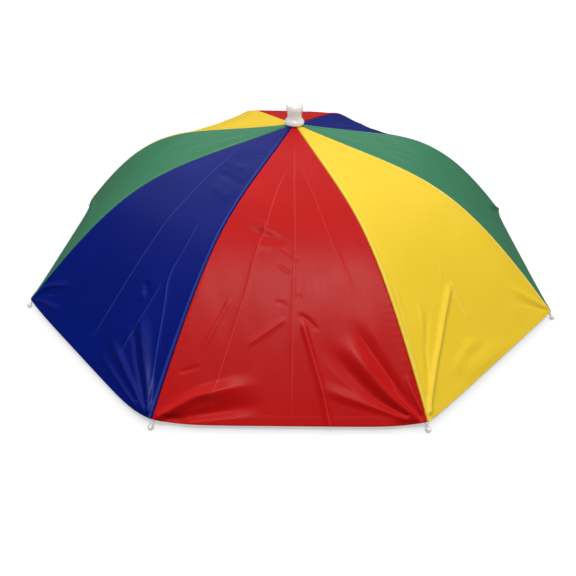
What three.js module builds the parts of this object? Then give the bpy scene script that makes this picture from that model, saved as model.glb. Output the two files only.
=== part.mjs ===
// Umbrella hat: eight cloth panels on eight wire ribs, with stays down to an elastic headband.
// Millimetres, +Z up. The front faces -Y, and the origin is under the crown where the tips stand.
import * as THREE from 'three';

// Canopy
const cornerRadius = 279.4; // axis to a canopy corner, half of 22 inches
const canopyRise = 142.6; // canopy corner up to the cloth at the crown
const clothWall = 1.0;
const holeRadius = 5.2; // hole in the cloth at the crown
const crownHandle = { out: 0.5, up: 0.775 }; // shares of radius and rise that bend a rib's upper half
const hemHandle = { out: 0.5655, up: 0.88 }; // shares that bend its lower half

// Clearances
const seamGap = 0.3; // between the cut edges of two neighbouring panels
const fit = 0.3; // between pieces that seat on each other

// Frame wire and its white plastic tips
const ribRadius = 1.3;
const stayRadius = 1.1;
const stayReach = 135; // axis to the joint of a stay with its rib
const stayGrip = 15; // length of a stay's lower end that lies along the headband
const elbowSize = 9; // length of the bend above that lower end
const neckRadius = 1.5;
const neckLength = 4.2;
const neckTaper = 0.85; // share of its radius left where it meets the ball
const ballRadius = 2.4;

// Crown cap, and the hub that carries it
const studRadius = 4;
const studRise = 11; // stud above the cloth, inside the cap
const hubRadius = 12;
const hubDepth = 8;
const capHeight = 21.5; // flange to the top of the dome
const flangeRadius = 9.7;
const flangeEdge = 2.2;
const waistRadius = 7.2;
const domeRadius = 8.5;
const domeRise = 6.5;
const shoulderDrop = 3; // dome's widest edge down to the waist

// Headband, an adult size of about 54 cm round
const bandRadius = 86; // to its outer face
const bandWall = 2.5;
const bandHeight = 26;
const bandClearance = 12; // floor to its lower rim

// Each rib's small lean: swing in degrees towards +azimuth, reach as a share of cornerRadius
const spokes = [
  { name: 'front_left', swing: 0.1, reach: 1.014 },
  { name: 'front_right', swing: 0.2, reach: 1.006 },
  { name: 'right_front', swing: -1.2, reach: 0.992 },
  { name: 'right_back', swing: -0.6, reach: 0.993 },
  { name: 'back_right', swing: 0, reach: 1 },
  { name: 'back_left', swing: 0, reach: 1 },
  { name: 'left_back', swing: -0.2, reach: 0.992 },
  { name: 'left_front', swing: 0, reach: 0.996 },
];
const ribCount = spokes.length;
const ribStep = (2 * Math.PI) / ribCount;

const red = { color: 0xc3231c, roughness: 0.45, metalness: 0 };
const yellow = { color: 0xf7d338, roughness: 0.45, metalness: 0 };
const green = { color: 0x3e7f57, roughness: 0.45, metalness: 0 };
const blue = { color: 0x26338c, roughness: 0.45, metalness: 0 };
const whitePlastic = { color: 0xf4f2ef, roughness: 0.25, metalness: 0 };
const wire = { color: 0xc9ccd0, roughness: 0.35, metalness: 0.9 };
const elastic = { color: 0x1c1c20, roughness: 0.85, metalness: 0 };

// Going round from the front towards +X. billow lifts the middle of a panel, bow pushes the middle
// of its hem out and drop lets it down, all as shares of the hem's length, and lean moves that
// slack towards the +1 seam. rows and columns set how finely a panel is divided.
const panels = [
  { name: 'front', cloth: red, billow: 0, bow: 0.016, drop: 0.013, lean: 0, rows: 20, columns: 20 },
  { name: 'front_right', cloth: yellow, billow: 0, bow: 0.004, drop: 0.002, lean: -0.8, rows: 20, columns: 20 },
  { name: 'right', cloth: green, billow: -0.006, bow: -0.02, drop: 0, lean: 0.7, rows: 12, columns: 10 },
  { name: 'back_right', cloth: blue, billow: -0.012, bow: 0.004, drop: 0.004, lean: 0, rows: 12, columns: 10 },
  { name: 'back', cloth: red, billow: 0.004, bow: 0.008, drop: 0.006, lean: 0, rows: 12, columns: 10 },
  { name: 'back_left', cloth: yellow, billow: 0.008, bow: 0.022, drop: 0.002, lean: 0.9, rows: 12, columns: 10 },
  { name: 'left', cloth: green, billow: 0, bow: -0.014, drop: 0, lean: -0.6, rows: 12, columns: 10 },
  { name: 'front_left', cloth: blue, billow: 0, bow: 0.015, drop: 0.004, lean: 0.9, rows: 20, columns: 20 },
];

// Folds that stand out of a panel. along goes from the crown 0 to the hem 1, across from one seam
// -1 to the other 1. width, to each side, and rise are shares of the hem's length.
const folds = [
  { panel: 'front', from: [0.06, 0], to: [1.05, 0.01], width: 0.07, rise: 0.006 },
  { panel: 'front', from: [0.23, -0.17], to: [0.62, -0.46], width: 0.06, rise: 0.007 },
  { panel: 'front', from: [0.62, -0.46], to: [0.93, -0.59], width: 0.06, rise: 0.006 },
  { panel: 'front', from: [0.21, 0.14], to: [0.78, 0.71], width: 0.06, rise: 0.006 },
  { panel: 'front', from: [0.74, 0.11], to: [1.02, 0.3], width: 0.05, rise: 0.006 },
  { panel: 'front', from: [1, -0.99], to: [0.91, -0.42], width: 0.065, rise: 0.017 },
  { panel: 'front', from: [1, -0.62], to: [0.96, -0.17], width: 0.05, rise: 0.007 },
  { panel: 'front', from: [1, 0.99], to: [0.79, 0.64], width: 0.065, rise: 0.015 },
  { panel: 'front', from: [1, 0.93], to: [0.92, 0.4], width: 0.055, rise: 0.01 },
  { panel: 'front_right', from: [1, -0.96], to: [0.74, -0.08], width: 0.065, rise: 0.017 },
  { panel: 'front_right', from: [0.74, -0.08], to: [1.02, -0.12], width: 0.06, rise: 0.008 },
  { panel: 'front_right', from: [1, 0.96], to: [0.89, 0.62], width: 0.06, rise: 0.012 },
  { panel: 'right', from: [0.1, 0], to: [1.02, 0], width: 0.07, rise: 0.006 },
  { panel: 'right', from: [1, 0.96], to: [0.86, 0.5], width: 0.09, rise: 0.014 },
  { panel: 'back_right', from: [1, -0.96], to: [0.82, -0.3], width: 0.09, rise: 0.014 },
  { panel: 'back_right', from: [0.1, 0], to: [1.02, 0], width: 0.07, rise: 0.006 },
  { panel: 'back', from: [1, -0.96], to: [0.85, -0.4], width: 0.09, rise: 0.014 },
  { panel: 'back', from: [1, 0.96], to: [0.88, 0.5], width: 0.09, rise: 0.012 },
  { panel: 'back', from: [0.1, 0], to: [1.02, 0], width: 0.07, rise: 0.006 },
  { panel: 'back_left', from: [1, 0.96], to: [0.84, 0.4], width: 0.09, rise: 0.014 },
  { panel: 'back_left', from: [0.1, 0], to: [1.02, 0], width: 0.07, rise: 0.006 },
  { panel: 'left', from: [1, -0.96], to: [0.86, -0.5], width: 0.09, rise: 0.012 },
  { panel: 'left', from: [0.1, 0], to: [1.02, 0], width: 0.07, rise: 0.006 },
  { panel: 'front_left', from: [0.5, 0.02], to: [1.02, -0.03], width: 0.06, rise: 0.008 },
  { panel: 'front_left', from: [0.78, 0.5], to: [1, 0.97], width: 0.06, rise: 0.017 },
  { panel: 'front_left', from: [0.74, 0.5], to: [0.91, 0.44], width: 0.05, rise: 0.007 },
  { panel: 'front_left', from: [1, -0.96], to: [0.87, -0.65], width: 0.06, rise: 0.012 },
];

const hemLength = 2 * cornerRadius * Math.sin(ribStep / 2);
const pinShare = 0.05; // share of the hem's length over which a fold dies out at a seam
const slackStart = 0.6; // share of the way to the hem where the slack begins
const slackFlatness = 6; // an even power, higher where the slack reaches nearer to the corners

const arcSteps = 5;
const wireSides = 6;
const turnedSegments = 16;
const tipSegments = 8;
const ribSpans = 7; // spans between the points that a rib's curve passes through
const ribSteps = 11;
const staySteps = 9;
const bandSegments = 32;
const rowCrowding = 1.35; // rows lie closer near the hem, where the folds are
const columnCrowding = 0.55; // columns lie closer near the seams
const group = new THREE.Group();

function addPiece(name, geometry, material, azimuth = 0) {
  const mesh = new THREE.Mesh(geometry, new THREE.MeshStandardMaterial(material));
  mesh.name = name;
  mesh.rotation.z = azimuth;
  group.add(mesh);
  return mesh;
}

function smooth(value) {
  const share = THREE.MathUtils.clamp(value, 0, 1);
  return share * share * (3 - 2 * share);
}

// A turned piece: points are [radius, height], up its outside from the axis and back to it, or
// round a closed ring.
function turned(points, segmentCount) {
  const profile = points.map(([radius, height]) => new THREE.Vector2(radius, height));
  return new THREE.LatheGeometry(profile, segmentCount).rotateX(Math.PI / 2);
}

// Round wire along a path.
function rod(path, radius, steps) {
  const section = new THREE.Shape();
  section.absarc(0, 0, radius, 0, 2 * Math.PI);
  const curveSegments = wireSides / 2;
  return new THREE.ExtrudeGeometry(section, { extrudePath: path, steps, curveSegments });
}

// The plastic tip of a rib: a neck, then a ball. It points down and out as the rib's end does.
const endSlope = Math.atan2(canopyRise * hemHandle.up, cornerRadius * (1 - hemHandle.out));

function tipShape() {
  const waist = neckRadius * neckTaper;
  const points = [[0, 0], [neckRadius, 0], [waist, neckLength * 0.6]];
  const ballStart = Math.PI - Math.asin(waist / ballRadius);
  for (let i = 0; i < arcSteps; i++) {
    const turn = ballStart * (1 - i / arcSteps);
    const height = neckLength + ballRadius * (Math.cos(turn) - Math.cos(ballStart));
    points.push([ballRadius * Math.sin(turn), height]);
  }
  points.push([0, neckLength + ballRadius * (1 - Math.cos(ballStart))]);
  return points;
}

// The lathe's axis is laid along the rib's end.
const tipGeometry = turned(tipShape(), tipSegments).rotateY(Math.PI / 2 + endSlope);
tipGeometry.computeBoundingBox();
const tipDepth = -tipGeometry.boundingBox.min.z;

// The frame's wires run this far under a seam, so that the necks clear the panels on both sides,
// and the corners of the cloth stand high enough for the tips to reach the floor.
const halfFold = Math.asin(Math.sin(ribStep / 2) * Math.sin(endSlope));
const frameDrop = (clothWall + fit + neckRadius) / Math.cos(halfFold);
const cornerHeight = frameDrop * Math.cos(endSlope) + fit * Math.sin(endSlope) + tipDepth;
const crownHeight = cornerHeight + canopyRise;

// The line of a rib on the outer face of the cloth, as [out, up] in its own upright plane.
function ribLine(reach = 1) {
  const radius = cornerRadius * reach;
  return new THREE.CubicBezierCurve(
    new THREE.Vector2(holeRadius, crownHeight),
    new THREE.Vector2(radius * crownHandle.out, cornerHeight + canopyRise * crownHandle.up),
    new THREE.Vector2(radius * hemHandle.out, cornerHeight + canopyRise * hemHandle.up),
    new THREE.Vector2(radius, cornerHeight),
  );
}

function shareAtRadius(line, radius) {
  let low = 0;
  let high = 1;
  for (let i = 0; i < 40; i++) {
    const middle = (low + high) / 2;
    if (line.getPointAt(middle).x < radius) low = middle;
    else high = middle;
  }
  return low;
}

// A point under the cloth along a rib, at a depth below its outer face.
function underRib(line, share, depth) {
  const point = line.getPointAt(share);
  const tangent = line.getTangentAt(share);
  return new THREE.Vector3(point.x + tangent.y * depth, 0, point.y - tangent.x * depth);
}

const ribs = spokes.map((spoke, index) => ({
  name: spoke.name,
  azimuth: (index - 0.5) * ribStep + THREE.MathUtils.degToRad(spoke.swing),
  line: ribLine(spoke.reach),
}));

// World position of [out, up] in a rib's plane, where azimuth 0 is the front.
function inPlane(azimuth, out, up) {
  return new THREE.Vector3(out * Math.sin(azimuth), -out * Math.cos(azimuth), up);
}

// Height of all the folds of a panel at one place. Distances are taken on the flattened panel.
function foldHeight(panelFolds, along, across, ribLength) {
  const flatten = ([u, v]) => new THREE.Vector2((v * u * hemLength) / 2, u * ribLength);
  const place = flatten([along, across]);
  let height = 0;
  for (const fold of panelFolds) {
    const start = flatten(fold.from);
    const run = flatten(fold.to).sub(start);
    const share = THREE.MathUtils.clamp(place.clone().sub(start).dot(run) / run.lengthSq(), 0, 1);
    const distance = place.distanceTo(start.addScaledVector(run, share));
    const nearness = smooth(1 - distance / (fold.width * hemLength));
    height = Math.max(height, fold.rise * hemLength * nearness);
  }
  const toSeam = ((1 - Math.abs(across)) * along * hemLength) / 2;
  return height * smooth(toSeam / (pinShare * hemLength));
}

// One panel: a closed sheet between two ribs, straight across from rib to rib, with its folds.
function panelGeometry(panel, left, right) {
  const panelFolds = folds.filter((fold) => fold.panel === panel.name);
  const { rows, columns } = panel;
  const outer = [];
  const inner = [];
  const side = (azimuth) => new THREE.Vector3(Math.cos(azimuth), Math.sin(azimuth), 0);
  const middleAzimuth = left.azimuth + ribStep / 2;
  for (let row = 0; row <= rows; row++) {
    const along = 1 - (1 - row / rows) ** rowCrowding;
    const ends = [left, right].map((rib, end) => {
      const point = rib.line.getPointAt(along);
      const tangent = rib.line.getTangentAt(along);
      const inset = side(rib.azimuth).multiplyScalar(end === 0 ? seamGap / 2 : -seamGap / 2);
      return {
        point: inPlane(rib.azimuth, point.x, point.y).add(inset),
        normal: inPlane(rib.azimuth, -tangent.y, tangent.x),
      };
    });
    for (let column = 0; column <= columns; column++) {
      const even = (2 * column) / columns - 1;
      const across = THREE.MathUtils.lerp(even, Math.sin((even * Math.PI) / 2), columnCrowding);
      const share = (across + 1) / 2;
      const normal = ends[0].normal.clone().lerp(ends[1].normal, share).normalize();
      const point = ends[0].point.clone().lerp(ends[1].point, share);
      const reach = smooth((along - slackStart) / (1 - slackStart)) * hemLength;
      const slack = reach * (1 - across ** slackFlatness) * (1 + panel.lean * across);
      point.add(inPlane(middleAzimuth, panel.bow * slack, -panel.drop * slack));
      const billow = panel.billow * hemLength * (1 - across * across) * Math.sin(Math.PI * along);
      const fold = foldHeight(panelFolds, along, across, left.line.getLength());
      point.addScaledVector(normal, billow + fold);
      outer.push(point);
      inner.push(point.clone().addScaledVector(normal, -clothWall));
    }
  }
  return closedSheet(outer, inner, rows, columns);
}

// Joins an outer and an inner grid of points into one closed body.
function closedSheet(outer, inner, rows, columns) {
  const stride = columns + 1;
  const back = outer.length;
  const index = [];
  const quad = (a, b, c, d) => index.push(a, b, c, a, c, d);
  for (let row = 0; row < rows; row++) {
    for (let column = 0; column < columns; column++) {
      const a = row * stride + column;
      quad(a, a + stride, a + stride + 1, a + 1);
      quad(back + a, back + a + 1, back + a + stride + 1, back + a + stride);
    }
    const start = row * stride;
    const end = start + columns;
    quad(start, back + start, back + start + stride, start + stride);
    quad(end, end + stride, back + end + stride, back + end);
  }
  for (let column = 0; column < columns; column++) {
    const hem = rows * stride + column;
    quad(column, column + 1, back + column + 1, back + column);
    quad(hem, back + hem, back + hem + 1, hem + 1);
  }
  const geometry = new THREE.BufferGeometry().setFromPoints([...outer, ...inner]);
  geometry.setIndex(index);
  geometry.computeVertexNormals();
  return geometry;
}

panels.forEach((panel, index) => {
  const left = ribs[index];
  const right = ribs[(index + 1) % ribCount];
  addPiece(`panel_${panel.name}`, panelGeometry(panel, left, right), panel.cloth);
});

// Ribs, from the hub to the hem, and a tip on the end of each
const nominalLine = ribLine();
const crownSlope = Math.atan2(canopyRise * (1 - crownHandle.up), cornerRadius * crownHandle.out - holeRadius);
const ribSetback = (frameDrop + ribRadius) * Math.sin(crownSlope); // its end is cut square
ribs.forEach((rib) => {
  const turn = rib.azimuth - Math.PI / 2;
  const start = shareAtRadius(rib.line, hubRadius + fit + ribSetback);
  const points = [];
  for (let i = 0; i <= ribSpans; i++) {
    points.push(underRib(rib.line, start + ((1 - start) * i) / ribSpans, frameDrop));
  }
  addPiece(`rib_${rib.name}`, rod(new THREE.CatmullRomCurve3(points), ribRadius, ribSteps), wire, turn);

  const end = points[ribSpans];
  const tip = tipGeometry.clone().translate(end.x + fit * Math.cos(endSlope), 0, tipDepth);
  addPiece(`tip_${rib.name}`, tip, whitePlastic, turn);
});

// Stays, from under each rib down to the outer face of the headband
const bandTop = bandClearance + bandHeight;
ribs.forEach((rib) => {
  const share = shareAtRadius(rib.line, stayReach);
  const top = underRib(rib.line, share, frameDrop + ribRadius + fit + stayRadius);
  const gripOut = bandRadius + fit + stayRadius;
  const foot = new THREE.Vector3(gripOut, 0, bandTop - stayGrip);
  const elbow = new THREE.Vector3(gripOut, 0, bandTop);
  const elbowStart = elbow.clone().add(top.clone().sub(elbow).setLength(elbowSize));
  const elbowEnd = new THREE.Vector3(gripOut, 0, bandTop - elbowSize / 2);
  const path = new THREE.CurvePath();
  path.add(new THREE.LineCurve3(top, elbowStart));
  path.add(new THREE.QuadraticBezierCurve3(elbowStart, elbow, elbowEnd));
  path.add(new THREE.LineCurve3(elbowEnd, foot));
  addPiece(`stay_${rib.name}`, rod(path, stayRadius, staySteps), wire, rib.azimuth - Math.PI / 2);
});

// Headband, a plain elastic ring
const bandInner = bandRadius - bandWall;
addPiece('headband', turned([
  [bandRadius, bandClearance],
  [bandRadius, bandTop],
  [bandInner, bandTop],
  [bandInner, bandClearance],
  [bandRadius, bandClearance],
], bandSegments), elastic);

// Height of the cloth's outer face over a radius, on a seam and in the middle of a panel
const overSeam = (radius) => nominalLine.getPointAt(shareAtRadius(nominalLine, radius)).y;
const overMiddle = (radius) => overSeam(radius / Math.cos(ribStep / 2));
const clothDrop = clothWall / Math.cos(crownSlope);

// Hub under the cloth, with the stud that the cap sits on
const hubTop = (radius) => overMiddle(radius) - clothDrop - fit;
const studTop = crownHeight + studRise;
addPiece('hub', turned([
  [0, hubTop(hubRadius) - hubDepth],
  [hubRadius, hubTop(hubRadius) - hubDepth],
  [hubRadius, hubTop(hubRadius)],
  [holeRadius, hubTop(holeRadius)],
  [studRadius, hubTop(holeRadius)],
  [studRadius, studTop],
  [0, studTop],
], turnedSegments), whitePlastic);

// Cap: a flange on the cloth, a waist and a dome, with a blind bore for the stud
const capFoot = crownHeight + fit;
const boreRadius = studRadius + fit;
const domeFoot = capFoot + capHeight - domeRise;
const capShape = [
  [0, studTop + fit],
  [boreRadius, studTop + fit],
  [boreRadius, capFoot],
  [flangeRadius, overSeam(flangeRadius) + fit],
  [flangeRadius, capFoot + flangeEdge],
  [waistRadius, capFoot + 2 * flangeEdge],
  [waistRadius, domeFoot - shoulderDrop],
];
for (let i = 0; i <= arcSteps; i++) {
  const turn = (i / arcSteps) * (Math.PI / 2);
  capShape.push([domeRadius * Math.cos(turn), domeFoot + domeRise * Math.sin(turn)]);
}
addPiece('crown_cap', turned(capShape, turnedSegments), whitePlastic);

export default group;
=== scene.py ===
# Umbrella hat: eight satin gores on wire ribs, a moulded crown cap, rib tips and an elastic headband
# Metres, up is +Z and the front faces -Y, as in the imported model
import math
import bpy
import numpy as np
from mathutils import Matrix, Vector


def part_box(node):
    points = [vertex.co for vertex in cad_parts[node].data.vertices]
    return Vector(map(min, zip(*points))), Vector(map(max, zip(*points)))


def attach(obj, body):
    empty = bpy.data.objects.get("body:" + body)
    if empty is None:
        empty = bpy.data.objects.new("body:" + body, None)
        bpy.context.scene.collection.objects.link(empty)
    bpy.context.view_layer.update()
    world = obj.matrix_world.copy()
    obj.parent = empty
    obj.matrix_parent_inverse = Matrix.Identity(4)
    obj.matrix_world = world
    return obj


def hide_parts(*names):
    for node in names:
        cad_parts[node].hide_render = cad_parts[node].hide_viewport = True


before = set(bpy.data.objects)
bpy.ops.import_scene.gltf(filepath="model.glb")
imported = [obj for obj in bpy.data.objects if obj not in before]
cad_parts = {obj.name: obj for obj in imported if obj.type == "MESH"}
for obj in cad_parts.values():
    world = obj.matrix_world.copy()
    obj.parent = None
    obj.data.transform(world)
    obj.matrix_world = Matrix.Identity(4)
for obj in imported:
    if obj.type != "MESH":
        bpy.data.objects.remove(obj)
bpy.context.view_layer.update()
bpy.context.scene.view_settings.view_transform = "Standard"
mm = 0.001
print("model loaded")

# Camera, above and in front of the hat
cameraSetup = {
    "lens": 39.2,  # mm
    "sensor": 36,
    "target": (-0.00404, 0, -0.0464),
    "distance": 0.7366,
    "elevation": 34.85,  # degrees above the floor
    "azimuth": 0.3,  # degrees to the right of the front
    "roll": 0.83,
    "nearest": 0.01,
}


def addCamera(setup):
    elevation, azimuth = math.radians(setup["elevation"]), math.radians(setup["azimuth"])
    flat = math.cos(elevation)
    back = Vector((math.sin(azimuth) * flat, -math.cos(azimuth) * flat, math.sin(elevation)))
    right = Vector((math.cos(azimuth), math.sin(azimuth), 0))
    turn = Matrix((right, back.cross(right), back)).transposed()
    turn = turn @ Matrix.Rotation(math.radians(setup["roll"]), 3, "Z")
    place = Vector(setup["target"]) + back * setup["distance"]
    bpy.ops.object.camera_add(location=place, rotation=turn.to_euler())
    camera = bpy.context.object
    camera.data.lens = setup["lens"]
    camera.data.sensor_width = setup["sensor"]
    camera.data.clip_start = setup["nearest"]
    bpy.context.scene.camera = camera


addCamera(cameraSetup)

# Studio: a pale sheet, a wide softbox high behind the hat and a smaller one high in front
studio = {
    "floorSize": 14,
    "sheetGlow": 0.52,
    "roomTop": 0.18,
    "roomFoot": 0.024,
    "roomLow": 0.1,  # sines of the elevations between which the room brightens
    "roomHigh": 0.7,
}
softboxes = [
    {"strength": 1.7, "elevation": 66, "azimuth": 180, "spread": 100},  # degrees, azimuth 0 is the front
    {"strength": 1.55, "elevation": 67, "azimuth": 8, "spread": 22},
]


def linear(hexColour):
    values = [int(hexColour[i:i + 2], 16) / 255 for i in (0, 2, 4)]
    return [v / 12.92 if v <= 0.04045 else ((v + 0.055) / 1.055) ** 2.4 for v in values] + [1]


def addNode(tree, kind, inputs=None, **settings):
    node = tree.nodes.new(kind)
    for name, value in settings.items():
        setattr(node, name, value)
    for name, value in (inputs or {}).items():
        if isinstance(value, bpy.types.NodeSocket):
            tree.links.new(value, node.inputs[name])
        else:
            node.inputs[name].default_value = value
    return node


def noise(tree, place, scale, detail=2.0):
    inputs = {"Vector": place, "Scale": scale, "Detail": detail}
    return addNode(tree, "ShaderNodeTexNoise", inputs).outputs["Fac"]


def mixColours(tree, share, first, second):
    inputs = {"Factor": share, 6: first, 7: second}
    return addNode(tree, "ShaderNodeMix", inputs, data_type="RGBA").outputs[2]


# A value between fromLow and fromHigh, brought to between low and high
def remap(tree, value, low, high, fromLow=0.0, fromHigh=1.0, kind="LINEAR"):
    inputs = {"Value": value, "From Min": fromLow, "From Max": fromHigh, "To Min": low, "To Max": high}
    return addNode(tree, "ShaderNodeMapRange", inputs, interpolation_type=kind).outputs["Result"]


def relief(tree, height, strength, distance, under=None):
    inputs = {"Height": height, "Strength": strength, "Distance": distance}
    if under is not None:
        inputs["Normal"] = under
    return addNode(tree, "ShaderNodeBump", inputs).outputs["Normal"]


def newMaterial(name):
    material = bpy.data.materials.new(name)
    material.use_nodes = True
    material.node_tree.nodes.clear()
    return material, material.node_tree


def addSurface(tree, inputs):
    surface = addNode(tree, "ShaderNodeBsdfPrincipled", inputs)
    addNode(tree, "ShaderNodeOutputMaterial", {"Surface": surface.outputs[0]})


# Seen straight on or through the plastic the studio is white, and elsewhere it gives back little light,
# as when a hat is shot on a dark table and its white ground comes later
def seenDirectly(tree):
    path = addNode(tree, "ShaderNodeLightPath")
    either = {0: path.outputs["Is Camera Ray"], 1: path.outputs["Is Transmission Ray"]}
    return addNode(tree, "ShaderNodeMath", either, operation="MAXIMUM").outputs[0]


# Opal acrylic sheet, lit from below: a faint grain, and shadows that never go black
def opalSheet():
    material, tree = newMaterial("opal acrylic sheet")
    place = addNode(tree, "ShaderNodeTexCoord").outputs["Object"]
    bump = relief(tree, noise(tree, place, 900.0), 0.05, 0.0002)
    seen = seenDirectly(tree)
    tone = mixColours(tree, seen, linear("484848"), linear("BFBFBF"))
    glow = remap(tree, seen, 0.0, studio["sheetGlow"])
    addSurface(tree, {"Base Color": tone, "Roughness": 0.9, "Specular IOR Level": 0.1, "Normal": bump,
                      "Emission Color": linear("FFFFFF"), "Emission Strength": glow})
    return material


bpy.ops.mesh.primitive_plane_add(size=studio["floorSize"])
floor = bpy.context.object
floor.name = "lightTable"
floor.data.materials.append(opalSheet())


# A softbox far off, as a sun whose angle is the softbox's spread
def addSoftbox(setup):
    elevation, azimuth = math.radians(setup["elevation"]), math.radians(setup["azimuth"])
    flat = math.cos(elevation)
    towards = Vector((math.sin(azimuth) * flat, -math.cos(azimuth) * flat, math.sin(elevation)))
    bpy.ops.object.light_add(type="SUN", rotation=towards.to_track_quat("Z", "Y").to_euler())
    lamp = bpy.context.object.data
    lamp.energy = setup["strength"]
    lamp.angle = math.radians(setup["spread"])


def lightRoom(setup):
    room = bpy.data.worlds.new("studio room")
    bpy.context.scene.world = room
    room.use_nodes = True
    tree = room.node_tree
    tree.nodes.clear()
    direction = addNode(tree, "ShaderNodeTexCoord").outputs["Generated"]
    height = addNode(tree, "ShaderNodeSeparateXYZ", {"Vector": direction}).outputs["Z"]
    ramp = remap(tree, height, setup["roomFoot"], setup["roomTop"], setup["roomLow"], setup["roomHigh"],
                 "SMOOTHSTEP")
    level = addNode(tree, "ShaderNodeMix", {"Factor": seenDirectly(tree), "A": ramp, "B": 1.0})
    white = {"Color": linear("FFFFFF"), "Strength": level.outputs["Result"]}
    glow = addNode(tree, "ShaderNodeBackground", white)
    addNode(tree, "ShaderNodeOutputWorld", {"Surface": glow.outputs[0]})


for softbox in softboxes:
    addSoftbox(softbox)
lightRoom(studio)
print("studio lit")

# Canopy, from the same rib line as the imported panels
canopy = {
    "cornerRadius": 279.4 * mm,
    "rise": 142.6 * mm,
    "holeRadius": 5.2 * mm,
    "crownBend": (0.5, 0.775),  # shares of radius and rise that bend a rib's upper half
    "hemBend": (0.5655, 0.88),  # and its lower half
    "seamGap": 0.3 * mm,
    "frameDrop": 2.91 * mm,  # outer face of the cloth down to the middle of a rib
    "slackStart": 0.6,
    "cloth": 0.35 * mm,
}
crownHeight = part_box("panel_front")[1].z
cornerHeight = crownHeight - canopy["rise"]
lastRun = canopy["cornerRadius"] * (1 - canopy["hemBend"][0])
endSlope = math.atan2(canopy["rise"] * canopy["hemBend"][1], lastRun)

# Ribs round from the front left: how far each leans sideways in degrees, its share of the radius, and
# how much its upper and lower half bend further out
ribTable = [
    ("front_left", 0.1, 1.014, 0, 0), ("front_right", 0.2, 1.006, 0, 0), ("right_front", -1.2, 0.992, 0, 0),
    ("right_back", -0.6, 0.993, -0.014, 0.011), ("back_right", 0, 1, 0, 0), ("back_left", 0, 1, 0.016, 0),
    ("left_back", -0.2, 0.992, -0.02, 0.026), ("left_front", 0, 0.996, 0, 0),
]
ribStep = 2 * math.pi / len(ribTable)
hemLength = 2 * canopy["cornerRadius"] * math.sin(ribStep / 2)


def smooth(value):
    share = np.clip(value, 0, 1)
    return share * share * (3 - 2 * share)


def ribLine(reach, crest, puff):
    radius, rise = canopy["cornerRadius"] * reach, canopy["rise"]
    a = np.array((canopy["holeRadius"], crownHeight))
    crown, hem = np.array(canopy["crownBend"]) + crest, np.array(canopy["hemBend"]) + puff
    b = np.array((radius * crown[0], cornerHeight + rise * crown[1]))
    c = np.array((radius * hem[0], cornerHeight + rise * hem[1]))
    d = np.array((radius, cornerHeight))
    t = np.linspace(0, 1, 1001)[:, None]
    points = (1 - t) ** 3 * a + 3 * (1 - t) ** 2 * t * b + 3 * (1 - t) * t ** 2 * c + t ** 3 * d
    slopes = (1 - t) ** 2 * (b - a) + 2 * (1 - t) * t * (c - b) + t ** 2 * (d - c)
    slopes = slopes / np.linalg.norm(slopes, axis=1)[:, None]
    steps = np.linalg.norm(np.diff(points, axis=0), axis=1)
    lengths = np.concatenate([[0], np.cumsum(steps)])
    return {"points": points, "slopes": slopes, "share": lengths / lengths[-1], "length": lengths[-1]}


ribs = []
for index, (name, swing, reach, crest, puff) in enumerate(ribTable):
    azimuth = (index - 0.5) * ribStep + math.radians(swing)
    ribs.append({"name": name, "azimuth": azimuth, "line": ribLine(reach, crest, puff)})
ribLength = ribs[4]["line"]["length"]  # of a rib that has no lean or bend of its own


def along2d(rib, share, key):
    line = rib["line"]
    return np.stack([np.interp(share, line["share"], line[key][:, i]) for i in (0, 1)], -1)


# World place of an out-and-up pair in a rib's upright plane
def inPlane(azimuth, pair):
    pair = np.asarray(pair)
    return np.stack([pair[..., 0] * math.sin(azimuth), -pair[..., 0] * math.cos(azimuth), pair[..., 1]], -1)


def underRib(rib, share, depth):
    point, slope = along2d(rib, share, "points"), along2d(rib, share, "slopes")
    lower = np.stack([point[..., 0] + slope[..., 1] * depth, point[..., 1] - slope[..., 0] * depth], -1)
    return inPlane(rib["azimuth"], lower)


def shareAtRadius(rib, radius):
    return float(np.interp(radius, rib["line"]["points"][:, 0], rib["line"]["share"]))


# A fold on the flattened gore. The path goes from the crown 0 to the hem 1, and from one seam -1 to the
# other 1. high, left and right are millimetres; left and right are the picture's for a path that runs
# to the hem. sharp makes its crest a crease, pale is how much paler colour is painted along its line,
# partly wear from pressing and partly a painted highlight, wide scales its width at both ends and fade is
# the share of it over which it rises and dies out.
def fold(path, high, left, right, sharp=0.0, pale=0.0, wide=(1, 1), fade=(0.15, 0.15)):
    return {"path": path, "high": high, "left": left, "right": right, "sharp": sharp,
            "pale": pale, "wide": wide, "fade": fade}


# A line that the cloth keeps from being folded up in its packet, painted paler along it, partly as wear
# and partly as a painted highlight
def crease(path, pale):
    return fold(path, 0.3, 4, 4, sharp=1, pale=pale)


def pressedCreases(strength):
    return [
        crease([(0.08, 0), (0.5, 0.01), (1, 0)], strength),
        crease([(0.24, -0.2), (0.5, -0.42), (0.8, -0.54), (0.97, -0.58)], strength * 0.7),
        crease([(0.22, 0.2), (0.5, 0.5), (0.75, 0.66)], strength * 0.6),
    ]


def cornerFolds(high):
    return [
        fold([(1, -0.96), (0.93, -0.72), (0.85, -0.4)], high, 16, 10, wide=(0.3, 1), fade=(0.05, 0.5)),
        fold([(1, 0.96), (0.94, 0.75), (0.87, 0.5)], high, 10, 16, wide=(0.3, 1), fade=(0.05, 0.5)),
    ]
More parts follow.
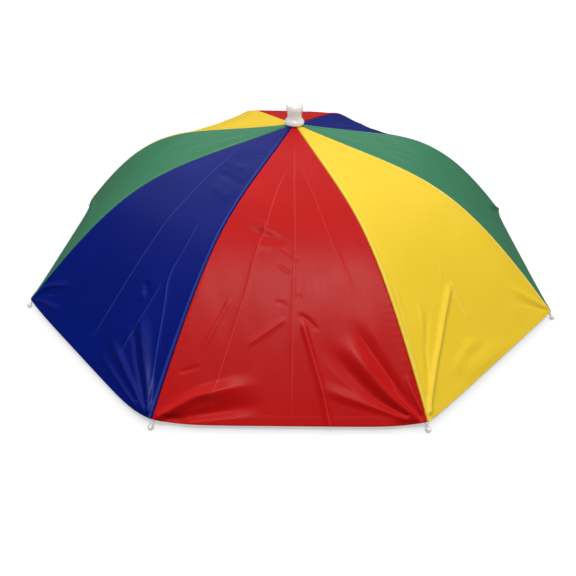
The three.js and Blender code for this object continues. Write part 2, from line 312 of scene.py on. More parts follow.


# Gores round from the front. billow lifts the middle, bow pushes the middle of the hem out and drop
# lets it down, as shares of the hem, and lean moves that slack towards the right seam. edges say how
# much the sewn edges under this gore's left and right seam raise a narrow band, and how strongly a paler
# painted highlight is laid along it.
gores = [
    {
        "name": "front", "cloth": "red", "billow": 0, "bow": 0.016, "drop": 0.013, "lean": 0,
        "rows": 205, "columns": 128, "edges": (0, 0), "folds": [
            crease([(0.06, 0.02), (0.32, 0.02), (0.53, 0.03), (0.7, 0.013), (0.86, 0.013), (1, 0.013)], 0.4),
            crease([(0.2, -0.08), (0.32, -0.33), (0.46, -0.39), (0.54, -0.44), (0.66, -0.473), (0.753, -0.52),
                    (0.85, -0.567), (0.917, -0.593), (0.975, -0.587)], 0.45),
            fold([(0.68, -0.61), (0.763, -0.707), (0.823, -0.773)], 0.5, 2.2, 2.2, sharp=0.7, pale=0.2),
            crease([(0.21, 0.18), (0.32, 0.373), (0.435, 0.453), (0.52, 0.517), (0.628, 0.613), (0.7, 0.68)],
                   0.25),
            # the fold that runs up from the left corner, and the hollow under it
            fold([(0.998, -0.973), (0.985, -0.933), (0.965, -0.86), (0.935, -0.733), (0.92, -0.593),
                  (0.905, -0.4), (0.9, -0.2)], 4, 14, 13, sharp=0.4, wide=(0.25, 1), fade=(0.03, 0.5)),
            fold([(0.995, -0.94), (0.99, -0.85), (0.975, -0.65), (0.96, -0.42), (0.945, -0.15)], -2.6, 10, 12,
                 wide=(0.3, 1), fade=(0.05, 0.45)),
            fold([(1, -0.95), (1, -0.86), (0.995, -0.72)], -1.8, 5, 6, fade=(0.3, 0.4)),
            fold([(0.995, 0.74), (1, 0.86), (1, 0.95)], -1.8, 6, 5, fade=(0.4, 0.3)),
            # two folds that run into the right corner, with hollows between
            fold([(0.72, 0.56), (0.758, 0.587), (0.823, 0.707), (0.88, 0.8), (0.925, 0.867), (0.993, 0.967)],
                 -2.4, 13, 12, sharp=0.5, pale=0.2, wide=(1, 0.25), fade=(0.35, 0.03)),
            fold([(0.782, 0.44), (0.82, 0.533), (0.86, 0.62), (0.897, 0.7), (0.938, 0.793), (0.978, 0.9),
                  (0.993, 0.947)], 2.6, 13, 13, sharp=0.2, wide=(1, 0.25), fade=(0.35, 0.03)),
            fold([(0.79, 0.253), (0.82, 0.353), (0.86, 0.46), (0.897, 0.56), (0.938, 0.687), (0.98, 0.867),
                  (0.993, 0.94)], -1.8, 11, 12, wide=(1, 0.25), fade=(0.35, 0.03)),
            fold([(0.897, 0.153), (0.91, 0.267), (0.938, 0.5), (0.965, 0.72), (0.983, 0.847), (0.995, 0.94)],
                 1.3, 8, 10, sharp=0.2, wide=(1, 0.25), fade=(0.35, 0.03)),
            fold([(0.905, 0.8), (0.943, 0.87), (0.985, 0.955)], 0.9, 3, 4, sharp=0.8, pale=0.3,
                 wide=(1, 0.4)),
            fold([(0.875, 0.925), (0.912, 0.945), (0.95, 0.963), (0.978, 0.98)], 0.9, 2.5, 3, sharp=0.6,
                 pale=0.3, wide=(1, 0.5), fade=(0.3, 0.1)),
            fold([(0.74, 0.1), (0.833, 0.187), (0.915, 0.253), (1, 0.29)], 1.5, 6, 5, sharp=0.7, pale=0.3,
                 wide=(0.6, 1), fade=(0.1, 0)),
            # small wrinkles
            fold([(0.723, 0.067), (0.743, 0.167), (0.765, 0.24)], -0.8, 2.8, 2.8, sharp=0.4),
            fold([(0.735, -0.053), (0.772, -0.24), (0.81, -0.413)], 0.6, 3.5, 4.5, sharp=0.6, pale=0.3,
                 fade=(0.1, 0.3)),
            fold([(0.693, -0.167), (0.7, -0.047)], -0.5, 2.2, 2.2),
            fold([(0.677, 0.047), (0.68, 0.093)], -0.4, 1.8, 1.8),
            fold([(0.588, -0.173), (0.618, -0.027)], -0.5, 2, 2),
            fold([(0.542, -0.147), (0.562, -0.033), (0.578, 0.08)], -0.4, 1.8, 2.2),
            fold([(0.878, -0.91), (0.857, -0.745)], -0.6, 2, 2, sharp=0.3),
            fold([(0.43, -0.85), (0.455, -0.6), (0.472, -0.413), (0.505, -0.1)], 1.1, 7, 6,
                 fade=(0.45, 0.45)),
            fold([(0.475, -0.75), (0.495, -0.5), (0.507, -0.34), (0.53, -0.05)], -1, 6, 6, fade=(0.45, 0.45)),
            fold([(0.525, -0.6), (0.545, -0.2)], 0.6, 5, 5, fade=(0.4, 0.4)),
            fold([(0.14, 0.33), (0.125, 0.76)], -0.3, 2, 2),
        ],
    },
    {
        "name": "front_right", "cloth": "yellow", "billow": 0, "bow": 0.004, "drop": 0.002, "lean": -0.8,
        "rows": 205, "columns": 128, "edges": (0.25, 0.4), "folds": [
            fold([(0.735, -0.06), (0.795, -0.347), (0.848, -0.56), (0.902, -0.753), (0.955, -0.9),
                  (0.992, -0.965)], 2.2, 13, 11, sharp=0.45, pale=0.2, wide=(0.5, 0.3), fade=(0.12, 0.03)),
            fold([(0.743, -0.493), (0.805, -0.68), (0.87, -0.807), (0.935, -0.9)], -1.2, 6, 6,
                 wide=(1, 0.4), fade=(0.4, 0.2)),
            fold([(0.738, -0.047), (0.8, -0.093), (0.853, -0.1), (0.89, -0.113)], 0.7, 5, 4, sharp=0.8,
                 pale=0.25, fade=(0.05, 0.4)),
            fold([(0.925, -0.053), (0.912, -0.24), (0.922, -0.36), (0.943, -0.6)], 0.8, 8, 10, sharp=0.3,
                 fade=(0.3, 0.3)),
            fold([(0.645, -0.853), (0.718, -0.893), (0.83, -0.945), (0.9, -0.965)], 0.5, 3, 2, sharp=0.6,
                 pale=0.15, wide=(1, 0.5)),
            fold([(0.71, -0.6), (0.775, -0.693), (0.823, -0.733), (0.9, -0.82)], 0.6, 4, 4, sharp=0.4,
                 pale=0.1, fade=(0.3, 0.3)),
            fold([(0.675, -0.067), (0.723, -0.187)], 0.3, 3, 2, pale=0.1),
            fold([(0.838, 0.62), (0.865, 0.713), (0.925, 0.847), (0.985, 0.975)], 1.1, 7, 8, sharp=0.2,
                 wide=(1, 0.3), fade=(0.4, 0.04)),
            fold([(0.88, 0.6), (0.93, 0.76), (0.985, 0.94)], -0.7, 6, 6, wide=(1, 0.3), fade=(0.4, 0.05)),
            fold([(0.93, -0.93), (0.96, -0.96), (1, -0.975)], -0.8, 2.5, 2.5, fade=(0.3, 0.03)),
            fold([(0.95, -0.6), (0.97, -0.2), (0.97, 0.3)], 0.7, 10, 12, fade=(0.3, 0.4)),
        ],
    },
    {
        "name": "right", "cloth": "green", "billow": -0.006, "bow": -0.01, "drop": 0, "lean": 0.5,
        "rows": 110, "columns": 64, "edges": (0, 0.3), "folds": [
            fold([(1, 0.96), (0.905, 0.733), (0.8, 0.5)], 2.8, 12, 16, wide=(0.35, 1), fade=(0.05, 0.5)),
            fold([(1, 0.9), (0.93, 0.7), (0.86, 0.4)], -1.5, 8, 8, wide=(0.35, 1), fade=(0.1, 0.5)),
        ] + pressedCreases(0.1),
    },
    {
        "name": "back_right", "cloth": "blue", "billow": -0.018, "bow": 0.004, "drop": 0.004, "lean": 0,
        "rows": 110, "columns": 64, "edges": (0.2, 0), "folds": pressedCreases(0.3) + cornerFolds(2.8),
    },
    {
        "name": "back", "cloth": "red", "billow": 0.004, "bow": 0.008, "drop": 0.006, "lean": 0,
        "rows": 110, "columns": 64, "edges": (0.2, 0), "folds": pressedCreases(0.35) + cornerFolds(2.8),
    },
    {
        "name": "back_left", "cloth": "yellow", "billow": -0.014, "bow": 0.022, "drop": 0.002, "lean": 0.9,
        "rows": 110, "columns": 64, "edges": (0.2, 0.35), "folds": pressedCreases(0.2) + cornerFolds(2.8),
    },
    {
        "name": "left", "cloth": "green", "billow": 0, "bow": -0.014, "drop": 0, "lean": -0.6,
        "rows": 110, "columns": 64, "edges": (0, 0.3), "folds": [
            fold([(1, -0.96), (0.94, -0.7), (0.85, -0.2), (0.81, 0.24), (0.8, 0.6)], 1.8, 14, 12,
                 wide=(0.3, 1), fade=(0.05, 0.5)),
        ] + pressedCreases(0.1),
    },
    {
        "name": "front_left", "cloth": "blue", "billow": 0, "bow": 0.02, "drop": 0.004, "lean": 0.6,
        "rows": 205, "columns": 128, "edges": (0, 0.55), "folds": [
            crease([(0.18, -0.64), (0.318, -0.207), (0.443, -0.033), (0.545, 0), (0.635, 0.02), (0.743, 0.04),
                    (0.91, 0.04), (0.968, 0)], 0.4),
            crease([(0.5, 0.54), (0.593, 0.567), (0.685, 0.547)], 0.3),
            fold([(0.693, 0.513), (0.772, 0.493), (0.84, 0.467), (0.883, 0.453), (0.927, 0.45)], 0.6, 2.5, 3,
                 sharp=0.6, pale=0.3),
            fold([(0.61, 0.527), (0.685, 0.58), (0.73, 0.667), (0.777, 0.747), (0.87, 0.86), (0.925, 0.913),
                  (0.985, 0.96)], 0.9, 3, 3, sharp=0.8, pale=0.45, wide=(1, 0.5)),
            # folds that run into the right corner, their steep sides to the left
            fold([(0.79, 0.44), (0.815, 0.5), (0.848, 0.627), (0.88, 0.733), (0.912, 0.827), (0.95, 0.907),
                  (0.99, 0.967)], 3.8, 6, 15, sharp=0.3, wide=(0.9, 0.25), fade=(0.35, 0.02)),
            fold([(0.8, 0.4), (0.838, 0.46), (0.865, 0.56), (0.893, 0.65), (0.927, 0.775), (0.965, 0.885)],
                 -1.8, 8, 4, wide=(1, 0.3), fade=(0.35, 0.1)),
            fold([(0.88, 0.2), (0.91, 0.313), (0.922, 0.46), (0.94, 0.62), (0.958, 0.767), (0.983, 0.9),
                  (0.996, 0.96)], 2.4, 7, 9, sharp=0.2, wide=(1, 0.25), fade=(0.35, 0.02)),
            fold([(0.943, 0.133), (0.958, 0.307), (0.97, 0.54), (0.983, 0.747), (0.993, 0.913)], 1.2, 5, 6,
                 sharp=0.2, wide=(1, 0.3), fade=(0.4, 0.03)),
            # and into the left corner
            fold([(0.985, -0.97), (0.935, -0.927), (0.895, -0.767), (0.865, -0.6)], 2, 5, 7, sharp=0.3,
                 pale=0.15, wide=(0.3, 1), fade=(0.04, 0.4)),
            fold([(0.96, -0.9), (0.938, -0.833), (0.922, -0.7)], -1, 4, 4, wide=(0.4, 1), fade=(0.1, 0.3)),
            fold([(0.99, -0.95), (0.965, -0.753), (0.948, -0.5)], 1.3, 5, 6, pale=0.1, wide=(0.3, 1),
                 fade=(0.05, 0.4)),
            fold([(0.72, 0.29), (0.75, 0.39)], -1.2, 5, 5, fade=(0.3, 0.3)),
            fold([(0.75, 0.32), (0.77, 0.4)], 0.8, 4, 4, fade=(0.3, 0.3)),
            # broad ripples near the crown
            fold([(0.26, -0.353), (0.265, 0.14), (0.26, 0.6)], 0.7, 8, 8, fade=(0.3, 0.3)),
            fold([(0.31, -0.1), (0.32, 0.553), (0.338, 0.92)], -0.9, 8, 8, fade=(0.3, 0.3)),
            fold([(0.37, 0.1), (0.385, 0.5), (0.395, 0.8)], 0.7, 8, 8, fade=(0.3, 0.3)),
            fold([(0.182, 0.253), (0.17, 0.72)], -0.35, 3, 3, fade=(0.3, 0.3)),
        ],
    },
]

# Sewing, in millimetres
sewing = {
    "seamColumns": (0, 0.15, 0.6, 1.2, 2, 2.9, 3.6, 4.3, 5.5, 7.2),  # from a seam, closer where it is raised
    "seamNarrow": 24,  # half-width of the gore under which those columns draw together
    "turnedIn": 1.3,  # cut edge that goes down into the seam
    "groove": 0.5,
    "grooveWide": 0.7,
    "bandHigh": 0.45,  # seam allowance under the cloth
    "bandWide": 3.6,
    "bandEdge": 0.8,
    "sheenAt": 2,  # middle of the painted highlight band beside a seam
    "sheenWide": 1.8,
    "sheenFrom": 0.25,  # share of the way to the hem over which it comes up
    "hemWide": 8,
    "hemHigh": 0.12,
    "hemEdge": 1.4,
    "hemTurn": 0.8,  # down to the layer that is turned under
    "hemLoop": [(0.25, 0.12, 0), (0.3, 0.45, 0.4), (0, 0.75, 0.8)],  # past the hem, down, turned back
    "hemBack": (1.5, 4),
    "pucker": 0.06,
    "puckerLength": 6.5,
    "puckerReach": (5, 6),  # in from a seam and from the hem
    "puckerDrift": (17, 19),  # along them
    "tautAtSeam": 4,  # distance from a seam over which folds die out
    "tautAtHem": 30,
    "rowCrowding": 1.15,  # rows lie closer near the hem
}
waves = {"count": 14, "lengths": (26, 70), "high": 0.045}  # mm
lineReach = 6  # mm beside a crease within which it is marked


def flattened(along, across):
    return across * along * hemLength / 2 / mm, along * ribLength / mm


# Points close together on a smooth line through a path, on the flattened gore
def smoothPath(path):
    knots = np.array([flattened(along, across) for along, across in path])
    if len(knots) < 3:
        t = np.linspace(0, 1, 9)[:, None]
        return knots[0] * (1 - t) + knots[-1] * t
    padded = np.vstack([2 * knots[0] - knots[1], knots, 2 * knots[-1] - knots[-2]])
    points = []
    for i in range(1, len(padded) - 2):
        p0, p1, p2, p3 = padded[i - 1:i + 3]
        for t in np.linspace(0, 1, 7)[:-1]:
            bend, twist = 2 * p0 - 5 * p1 + 4 * p2 - p3, 3 * p1 - p0 - 3 * p2 + p3
            points.append(0.5 * (2 * p1 + (p2 - p0) * t + bend * t ** 2 + twist * t ** 3))
    return np.array(points + [knots[-1]])


# Height of one fold at many places, how far off its line they are, in millimetres, and how much paler
# colour is painted along it, partly wear and partly a painted highlight
def foldAt(item, u, v):
    line = smoothPath(item["path"])
    steps = np.diff(line, axis=0)
    lengths = np.linalg.norm(steps, axis=1)
    total = lengths.sum()
    reached = np.concatenate([[0], np.cumsum(lengths)])
    best = np.full(u.shape, 1e9)
    side = np.zeros(u.shape)
    share = np.zeros(u.shape)
    for start, step, length, gone in zip(line, steps, lengths, reached):
        du, dv = u - start[0], v - start[1]
        t = np.clip((du * step[0] + dv * step[1]) / length ** 2, 0, 1)
        distance = np.hypot(du - t * step[0], dv - t * step[1])
        nearer = distance < best
        best = np.where(nearer, distance, best)
        side = np.where(nearer, step[0] * dv - step[1] * du, side)
        share = np.where(nearer, (gone + t * length) / total, share)
    scale = item["wide"][0] + (item["wide"][1] - item["wide"][0]) * share
    width = np.where(side > 0, item["left"], item["right"]) * scale
    x = np.clip(1 - best / width, 0, 1)
    shape = (1 - item["sharp"]) * smooth(x) + item["sharp"] * x ** 2
    rise = smooth(share / item["fade"][0]) if item["fade"][0] else 1
    fall = smooth((1 - share) / item["fade"][1]) if item["fade"][1] else 1
    strength = item["pale"] * smooth((lineReach - best) / 3) * rise * fall
    return item["high"] * shape * rise * fall, np.sign(side) * best, strength


# The cloth is never quite even: a few long shallow waves
def unevenness(u, v, seed):
    random = np.random.default_rng(seed)
    height = np.zeros(u.shape)
    for _ in range(waves["count"]):
        direction, length = random.uniform(0, math.pi), random.uniform(*waves["lengths"])
        phase = random.uniform(0, 2 * math.pi)
        reach = u * math.cos(direction) * 1.5 + v * math.sin(direction) * 0.7
        height += waves["high"] * np.sin(2 * math.pi * reach / length + phase)
    return height


# Rows from the crown to the hem: share of the rib, millimetres under the cloth, millimetres turned back.
# The hem goes round its fold and back up under the cloth.
def goreRows(count):
    rows = [(1 - (1 - i / count) ** sewing["rowCrowding"], 0, 0) for i in range(count + 1)]
    edge = 1 / (ribLength / mm)
    turned = [(1 + past * edge, under, back) for past, under, back in sewing["hemLoop"]]
    for back in (*sewing["hemBack"], sewing["hemWide"]):
        turned.append((1 - back * edge, sewing["hemTurn"], back))
    return rows + turned


def goreSurface(index, gore):
    left, right = ribs[index], ribs[(index + 1) % len(ribs)]
    middle = left["azimuth"] + ribStep / 2
    rows = goreRows(gore["rows"])
    along = np.array([row[0] for row in rows])
    share = np.clip(along, 0, 1)
    ends, normals = [], []
    for rib, sign in ((left, 1), (right, -1)):
        point, slope = along2d(rib, share, "points"), along2d(rib, share, "slopes")
        point = point + slope * ((along - share) * ribLength)[:, None]
        sideways = np.array((math.cos(rib["azimuth"]), math.sin(rib["azimuth"]), 0))
        ends.append(inPlane(rib["azimuth"], point) + sign * canopy["seamGap"] / 2 * sideways)
        normals.append(inPlane(rib["azimuth"], np.stack([-slope[:, 1], slope[:, 0]], -1)))
    half = np.linalg.norm(ends[1] - ends[0], axis=1) / 2 / mm

    # columns: fixed distances from both seams, and even ones between
    near = np.array(sewing["seamColumns"])
    drawn = np.minimum(1, half / sewing["seamNarrow"])[:, None]
    edgeColumns = -1 + near[None, :] * drawn / half[:, None]
    t = np.linspace(0, 1, gore["columns"] - 2 * len(near) + 3)[None, 1:-1]
    inner = edgeColumns[:, -1:] * (1 - 2 * t)
    across = np.concatenate([edgeColumns, inner, -edgeColumns[:, ::-1]], axis=1)
    alongGrid = np.repeat(along[:, None], across.shape[1], axis=1)

    mix = ((across + 1) / 2)[..., None]
    point = ends[0][:, None] * (1 - mix) + ends[1][:, None] * mix
    normal = normals[0][:, None] * (1 - mix) + normals[1][:, None] * mix
    normal = normal / np.linalg.norm(normal, axis=-1)[..., None]
    slack = smooth((alongGrid - canopy["slackStart"]) / (1 - canopy["slackStart"])) * hemLength
    slack = slack * (1 - across ** 6) * (1 + gore["lean"] * across)
    outward = np.array((math.sin(middle), -math.cos(middle), 0))
    point = point + slack[..., None] * (gore["bow"] * outward - gore["drop"] * np.array((0, 0, 1)))

    # heights in millimetres over that plain surface
    u, v = flattened(alongGrid, across)
    toSeam = (1 - np.abs(across)) * half[:, None]
    toHem = (1 - alongGrid) * ribLength / mm
    height, seamSheen = np.zeros(u.shape), np.zeros(u.shape)
    offLine, lineWearSheen = np.full(u.shape, float(lineReach)), np.zeros(u.shape)
    # folds also say where paler colour is painted along their lines: partly wear, partly painted highlight
    for item in gore["folds"]:
        rise, off, strength = foldAt(item, u, v)
        height += rise
        offLine = np.where(strength > lineWearSheen, off, offLine)
        lineWearSheen = np.maximum(lineWearSheen, strength)
    height += unevenness(u, v, index) * smooth(toHem / sewing["tautAtHem"])
    height = height * smooth(toSeam / sewing["tautAtSeam"])
    arch = (1 - across ** 2) * np.sin(math.pi * np.clip(alongGrid, 0, 1))
    height += gore["billow"] * hemLength / mm * arch
    hem = smooth((sewing["hemWide"] - toHem) / sewing["hemEdge"]) * smooth(toSeam / 3)
    height += sewing["hemHigh"] * hem
    for side, edge in ((-1, gore["edges"][0]), (1, gore["edges"][1])):
        d = (1 - side * across) * half[:, None]
        height -= sewing["groove"] * np.clip(1 - d / sewing["grooveWide"], 0, 1)
        if edge:
            band = smooth(d) * smooth((sewing["bandWide"] + sewing["bandEdge"] - d) / sewing["bandEdge"])
            height += sewing["bandHigh"] * band
            # a paler band painted beside the seam as a highlight
            paler = np.clip(1 - np.abs(d - sewing["sheenAt"]) / sewing["sheenWide"], 0, 1)
            seamSheen = np.maximum(seamSheen, edge * paler * smooth(alongGrid / sewing["sheenFrom"]))
        drift = 2 * np.sin(v / sewing["puckerDrift"][0] + index)
        wave = np.sin(2 * math.pi * v / sewing["puckerLength"] + drift)
        height += sewing["pucker"] * wave * np.exp(-d / sewing["puckerReach"][0]) * smooth(d)
    drift = 2 * np.sin(u / sewing["puckerDrift"][1] + index)
    wave = np.sin(2 * math.pi * u / sewing["puckerLength"] + drift)
    wave = wave * smooth(toSeam / sewing["tautAtSeam"])
    height += sewing["pucker"] * wave * np.exp(-toHem / sewing["puckerReach"][1])
    height = height - np.array([row[1] for row in rows])[:, None]
    height[:, 0] -= sewing["turnedIn"]
    height[:, -1] -= sewing["turnedIn"]
    point = point + normal * (height * mm)[..., None]

    turned = np.array([row[2] for row in rows])[:, None]
    down = np.where(turned > 0, ribLength + turned * mm, v * mm)
    flat = np.stack([u * mm + hemLength / 2, down], -1)
    return point, flat, {"offLine": offLine, "lineWearSheen": lineWearSheen, "seamSheen": seamSheen}


def gridFaces(rows, columns):
    start = (np.arange(rows - 1)[:, None] * columns + np.arange(columns - 1)[None, :]).ravel()
    return np.stack([start, start + columns, start + columns + 1, start + 1], -1)


def gridObject(name, point, flat=None, marks=None):
    rows, columns = point.shape[:2]
    mesh = bpy.data.meshes.new(name)
    mesh.from_pydata(point.reshape(-1, 3).tolist(), [], gridFaces(rows, columns).tolist())
    if flat is not None:
        corners = np.zeros(len(mesh.loops), dtype=int)
        mesh.loops.foreach_get("vertex_index", corners)
        layer = mesh.uv_layers.new(name="clothMap")
        layer.data.foreach_set("uv", flat.reshape(-1, 2)[corners].ravel())
    for mark, values in (marks or {}).items():
        mesh.attributes.new(mark, "FLOAT", "POINT").data.foreach_set("value", values.ravel())
    mesh.shade_smooth()
    piece = bpy.data.objects.new(name, mesh)
    bpy.context.scene.collection.objects.link(piece)
    return piece


def only(piece):
    bpy.ops.object.select_all(action="DESELECT")
    piece.select_set(True)
    bpy.context.view_layer.objects.active = piece


def thicken(piece, thickness):
    only(piece)
    bpy.ops.object.modifier_add(type="SOLIDIFY")
    solidify = piece.modifiers[-1]
    solidify.thickness = thickness
    solidify.offset = -1
    bpy.ops.object.modifier_apply(modifier=solidify.name)


# Satin polyester, calendered taffeta: a soft broad sheen over a strong dye, slubs along both threads,
# thin paler lines where folding has creased it, painted partly as wear and partly as a highlight, and a
# painted highlight as a paler band beside each seam
def satinPolyester(name, dye, wearSheenTone, deep):
    material, tree = newMaterial(name)
    cloth = addNode(tree, "ShaderNodeUVMap", uv_map="clothMap").outputs["UV"]
    # real threads are 0.2 mm apart, and these are drawn as slubs about 1 mm wide so that they show
    warp = addNode(tree, "ShaderNodeMapping", {"Vector": cloth, "Scale": (1100, 60, 1)}).outputs[0]
    weft = addNode(tree, "ShaderNodeMapping", {"Vector": cloth, "Scale": (60, 1100, 1)}).outputs[0]
    slubs = {0: noise(tree, warp, 1.0), 1: noise(tree, weft, 1.0)}
    weave = addNode(tree, "ShaderNodeMath", slubs, operation="ADD").outputs[0]
    slub = remap(tree, weave, 0.0, 0.16, 0.7, 1.3)
    # the dye takes unevenly over some 60 mm
    uneven = remap(tree, noise(tree, cloth, 16.0), 0.0, 0.3, 0.3, 0.7)
    dyed = mixColours(tree, uneven, linear(dye), linear(deep))
    woven = mixColours(tree, slub, dyed, linear(deep))
    # a creased line is 1 mm wide, with a small crest; its paler colour is partly wear and partly a painted
    # highlight, and the seam band's paler colour is a painted highlight
    offLine = addNode(tree, "ShaderNodeAttribute", attribute_name="offLine").outputs["Fac"]
    lineWearSheen = addNode(tree, "ShaderNodeAttribute", attribute_name="lineWearSheen").outputs["Fac"]
    seamSheen = addNode(tree, "ShaderNodeAttribute", attribute_name="seamSheen").outputs["Fac"]
    away = addNode(tree, "ShaderNodeMath", {0: offLine}, operation="ABSOLUTE").outputs[0]
    onLine = remap(tree, away, 1.0, 0.0, 0.2, 1.0, "SMOOTHSTEP")
    creaseWearSheen = addNode(tree, "ShaderNodeMath", {0: onLine, 1: lineWearSheen}, operation="MULTIPLY").outputs[0]
    wearAndSheen = addNode(tree, "ShaderNodeMath", {0: creaseWearSheen, 1: seamSheen}, operation="MAXIMUM").outputs[0]
    # paler tone painted along creases and seams: partly wear, partly painted highlight
    colour = mixColours(tree, wearAndSheen, woven, linear(wearSheenTone))
    rough = remap(tree, weave, 0.32, 0.4, 0.7, 1.3)
    crest = relief(tree, creaseWearSheen, 0.6, 0.0004)
    bump = relief(tree, weave, 0.18, 0.0002, crest)
    addSurface(tree, {"Base Color": colour, "Roughness": rough, "Normal": bump, "IOR": 1.5,
                      "Specular IOR Level": 0.11})
    return material


# dye, the paler tone painted along creases and seams as wear and highlight, and a deeper tone of the dye
clothColours = {
    "red": ("C91615", "D84340", "B30E0E"),
    "yellow": ("FFDA3A", "FFF0A0", "F8CB30"),
    "green": ("458B66", "7CBD9A", "397D58"),
    "blue": ("061B7E", "3C52B0", "030F58"),
}
clothMaterials = {}
for colour, (dye, wearSheenTone, deep) in clothColours.items():
    clothMaterials[colour] = satinPolyester(colour + " satin polyester", dye, wearSheenTone, deep)

for index, gore in enumerate(gores):
    piece = gridObject("gore_" + gore["name"], *goreSurface(index, gore))
    piece.data.materials.append(clothMaterials[gore["cloth"]])
    thicken(piece, canopy["cloth"])
    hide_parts("panel_" + gore["name"])
    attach(piece, "root")
print("canopy sewn")


# Turned pieces: a ring drawn up its own axis through rings of [radius, height] in millimetres
def turnedPiece(name, rings, sides, foot=(0, 0, 0)):
    bpy.ops.object.select_all(action="DESELECT")
    first = rings[0]
    bpy.ops.mesh.primitive_circle_add(vertices=sides, radius=first[0] * mm, fill_type="NGON",
                                      location=(foot[0], foot[1], foot[2] + first[1] * mm))
    piece = bpy.context.object
    piece.name = name
    bpy.ops.object.transform_apply(location=True, rotation=True, scale=True)
    bpy.ops.object.mode_set(mode="EDIT")
    bpy.ops.mesh.select_all(action="SELECT")
    radius, height = first
    for nextRadius, nextHeight in rings[1:]:
        lift = (0, 0, (nextHeight - height) * mm)
        bpy.ops.mesh.extrude_region_move(TRANSFORM_OT_translate={"value": lift})
        grow = nextRadius / radius
        centre = (foot[0], foot[1], foot[2] + nextHeight * mm)
        bpy.ops.transform.resize(value=(grow, grow, 1), center_override=centre)
        radius, height = nextRadius, nextHeight
    bpy.ops.mesh.select_all(action="SELECT")
    bpy.ops.mesh.normals_make_consistent(inside=False)
    bpy.ops.object.mode_set(mode="OBJECT")
    return piece


def finishSmooth(piece, angle, levels=0):
    only(piece)
    if levels:
        bpy.ops.object.modifier_add(type="SUBSURF")
        piece.modifiers[-1].levels = levels
        piece.modifiers[-1].render_levels = levels
        bpy.ops.object.modifier_apply(modifier=piece.modifiers[-1].name)
    bpy.ops.object.shade_smooth_by_angle(angle=math.radians(angle))


# Injection-moulded polyethylene: milky white and waxy, so light bleeds all the way through the waist,
# and where asked a painted glow of its own keeps it white in the shade
def mouldedPolyethylene(name, paintedGlow):
    material, tree = newMaterial(name)
    place = addNode(tree, "ShaderNodeTexCoord").outputs["Object"]
    cloudy = noise(tree, place, 180.0, 3.0)
    tone = mixColours(tree, cloudy, linear("E6E4E2"), linear("DFDCD9"))
    rough = remap(tree, cloudy, 0.16, 0.3)
    # flow marks of the mould, some 0.5 mm apart
    bump = relief(tree, noise(tree, place, 1400.0), 0.12, 0.0001)
    addSurface(tree, {"Base Color": tone, "Roughness": rough, "Normal": bump, "IOR": 1.51,
                      "Subsurface Weight": 1.0, "Subsurface Radius": (1, 0.97, 0.94),
                      "Subsurface Scale": 0.015, "Emission Color": linear("FFFCF8"),
                      "Emission Strength": paintedGlow})
    return material


# the cap and rib tips get a painted glow, the hub none
whitePlastic = mouldedPolyethylene("white moulded polyethylene", 0.28)
plainPlastic = mouldedPolyethylene("plain moulded polyethylene", 0.0)

# Crown cap, foot to dome
cap = {
    "height": 19.7,
    "sides": 48,
    "rings": [  # radius and height in mm
        (6, -0.4), (9.0, -1.0), (9.6, -0.5), (9.8, 0.4), (9.75, 1.4), (9.4, 2.4), (8.7, 3.3), (7.9, 4.1),
        (7.3, 5), (7.0, 6.2), (6.85, 7.6), (6.85, 9), (7.0, 10.2), (7.3, 11.1), (7.7, 11.8), (8.1, 12.4),
        (8.4, 13.1), (8.55, 13.9), (8.55, 14.9), (8.3, 16), (7.8, 17), (7.0, 17.9), (5.9, 18.7),
        (4.5, 19.25), (2.8, 19.6), (1.2, 19.7),
    ],
}
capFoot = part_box("crown_cap")[1].z - cap["height"] * mm
capPiece = turnedPiece("cap_crown", cap["rings"], cap["sides"], (0, 0, capFoot))
finishSmooth(capPiece, 50, 1)
capPiece.data.materials.append(whitePlastic)
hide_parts("crown_cap")
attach(capPiece, "root")
print("cap moulded")

# Rib tips: a collar, a waist and a ball, along the end of each rib
tip = {
    "sides": 24,
    "ball": 2.4,
    "ballAt": 6.23,  # from the collar's face to the ball's middle
    "rings": [
        (1.35, 0), (1.7, 0.15), (1.8, 0.6), (1.65, 1.1), (1.4, 1.6), (1.28, 2.4), (1.28, 3.2), (1.35, 4.0),
    ],
    "clearance": 0.3,
}
ballRings = []
for degrees in range(145, 5, -14):
    turn = math.radians(degrees)
    ballRings.append((tip["ball"] * math.sin(turn), tip["ballAt"] + tip["ball"] * math.cos(turn)))
ballRings.append((0.12, tip["ballAt"] + tip["ball"]))
tipPiece = turnedPiece("tip_plain", tip["rings"] + ballRings, tip["sides"])
finishSmooth(tipPiece, 60)
tipPiece.data.materials.append(whitePlastic)

for rib in ribs:
    piece = tipPiece.copy()
    piece.data = tipPiece.data.copy()
    piece.name = "bead_" + rib["name"]
    bpy.context.scene.collection.objects.link(piece)
    base = underRib(rib, 1.0, canopy["frameDrop"])
    down = Vector(inPlane(rib["azimuth"], (math.cos(endSlope), -math.sin(endSlope))))
    turn = down.to_track_quat("Z", "Y").to_matrix().to_4x4()
    piece.data.transform(Matrix.Translation(Vector(base) + down * tip["clearance"] * mm) @ turn)
    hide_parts("tip_" + rib["name"])
    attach(piece, "root")
bpy.data.objects.remove(tipPiece)
print("tips placed")


# Galvanised spring wire, drawn: grey metal with a fine mottled bloom of zinc
def drawnWire():
    material, tree = newMaterial("galvanised spring wire")
    place = addNode(tree, "ShaderNodeTexCoord").outputs["Object"]
    grain = noise(tree, place, 700.0, 3.0)
    tone = mixColours(tree, grain, linear("C9CCD0"), linear("A4A7AC"))
    rough = remap(tree, grain, 0.25, 0.5)
    addSurface(tree, {"Base Color": tone, "Roughness": rough, "Metallic": 1.0})
    return material


springWire = drawnWire()


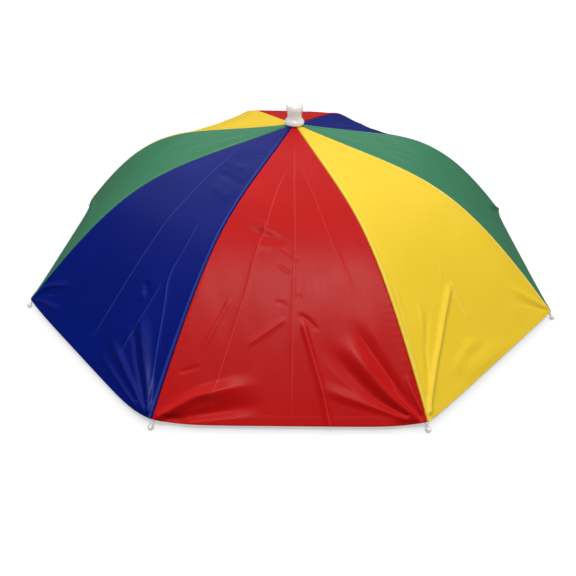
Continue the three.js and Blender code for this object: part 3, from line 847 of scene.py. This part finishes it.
def wirePiece(name, points, radius):
    curve = bpy.data.curves.new(name, "CURVE")
    curve.dimensions = "3D"
    curve.bevel_depth = radius
    curve.bevel_resolution = 3
    curve.use_fill_caps = True
    spline = curve.splines.new("POLY")
    spline.points.add(len(points) - 1)
    for knot, point in zip(spline.points, points):
        knot.co = (*point, 1)
    piece = bpy.data.objects.new(name, curve)
    bpy.context.scene.collection.objects.link(piece)
    only(piece)
    bpy.ops.object.convert(target="MESH")
    piece = bpy.context.object
    piece.data.materials.append(springWire)
    finishSmooth(piece, 50)
    return piece


ribWire = {
    "radius": 1.3 * mm,
    "start": 11.2 * mm,  # so that the wire ends in the side of the hub
    "steps": 48,
}
stayWire = {
    "radius": 1.1 * mm,
    "reach": 135 * mm,
    "grip": 15 * mm,
    "elbow": 9 * mm,
    "clearance": 0.3 * mm,
}
band = {
    "radius": 86 * mm,
    "height": 26 * mm,
    "foot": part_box("headband")[0].z,
    "thickness": 1.9 * mm,
    "inset": 0.6 * mm,
    "gathers": 72,
    "gatherDeep": 0.45 * mm,
    "cordRows": (0.2, 0.5, 0.8),  # shares of the height where its elastic cords draw it in
    "cordDeep": 0.35 * mm,
    "cordWide": 0.05,
}
bandTop = band["foot"] + band["height"]

for rib in ribs:
    start = shareAtRadius(rib, ribWire["start"])
    share = np.linspace(start, 1, ribWire["steps"])
    points = underRib(rib, share, canopy["frameDrop"])
    piece = wirePiece("wire_" + rib["name"], points.tolist(), ribWire["radius"])
    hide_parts("rib_" + rib["name"])
    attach(piece, "root")

    gripOut = band["radius"] + stayWire["clearance"] + stayWire["radius"]
    depth = canopy["frameDrop"] + ribWire["radius"] + stayWire["clearance"] + stayWire["radius"]
    top = Vector(underRib(rib, shareAtRadius(rib, stayWire["reach"]), depth))
    foot = Vector(inPlane(rib["azimuth"], (gripOut, bandTop - stayWire["grip"])))
    elbow = Vector(inPlane(rib["azimuth"], (gripOut, bandTop)))
    bendStart = elbow + (top - elbow).normalized() * stayWire["elbow"]
    bendEnd = elbow - Vector((0, 0, stayWire["elbow"] / 2))
    bend = []
    for t in np.linspace(0, 1, 10):
        bend.append(bendStart * (1 - t) ** 2 + elbow * 2 * t * (1 - t) + bendEnd * t ** 2)
    piece = wirePiece("strut_" + rib["name"], [top] + bend + [foot], stayWire["radius"])
    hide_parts("stay_" + rib["name"])
    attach(piece, "root")
print("frame bent")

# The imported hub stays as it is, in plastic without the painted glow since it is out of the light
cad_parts["hub"].data.materials.clear()
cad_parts["hub"].data.materials.append(plainPlastic)


# Shirred elastic: dull black, ribbed along the band
def shirredElastic():
    material, tree = newMaterial("black shirred elastic")
    place = addNode(tree, "ShaderNodeTexCoord").outputs["Object"]
    knit = noise(tree, place, 1200.0)
    tone = mixColours(tree, knit, linear("17171A"), linear("2B2B30"))
    bump = relief(tree, knit, 0.4, 0.0003)
    addSurface(tree, {"Base Color": tone, "Roughness": 0.85, "Normal": bump, "IOR": 1.5})
    return material


elastic = shirredElastic()
turns = np.linspace(0, 2 * math.pi, 361)
heights = np.linspace(0, 1, 15)
theta, level = np.meshgrid(turns, heights, indexing="xy")
uneven = band["gathers"] * theta + 1.5 * np.sin(5 * theta)  # closer together on five sides
gather = band["gatherDeep"] * np.sin(uneven) * (0.35 + 0.65 * np.abs(2 * level - 1))
drawnIn = band["cordDeep"] * sum(np.exp(-((level - row) / band["cordWide"]) ** 2) for row in band["cordRows"])
radius = band["radius"] - band["inset"] + gather - drawnIn
ring = np.stack([radius * np.sin(theta), -radius * np.cos(theta), band["foot"] + band["height"] * level], -1)
bandPiece = gridObject("elastic_headband", ring[::-1])
bandPiece.data.materials.append(elastic)
only(bandPiece)
bpy.ops.object.mode_set(mode="EDIT")
bpy.ops.mesh.select_all(action="SELECT")
bpy.ops.mesh.remove_doubles(threshold=0.00001)
bpy.ops.object.mode_set(mode="OBJECT")
thicken(bandPiece, band["thickness"])
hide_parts("headband")
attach(bandPiece, "root")
print("headband gathered")
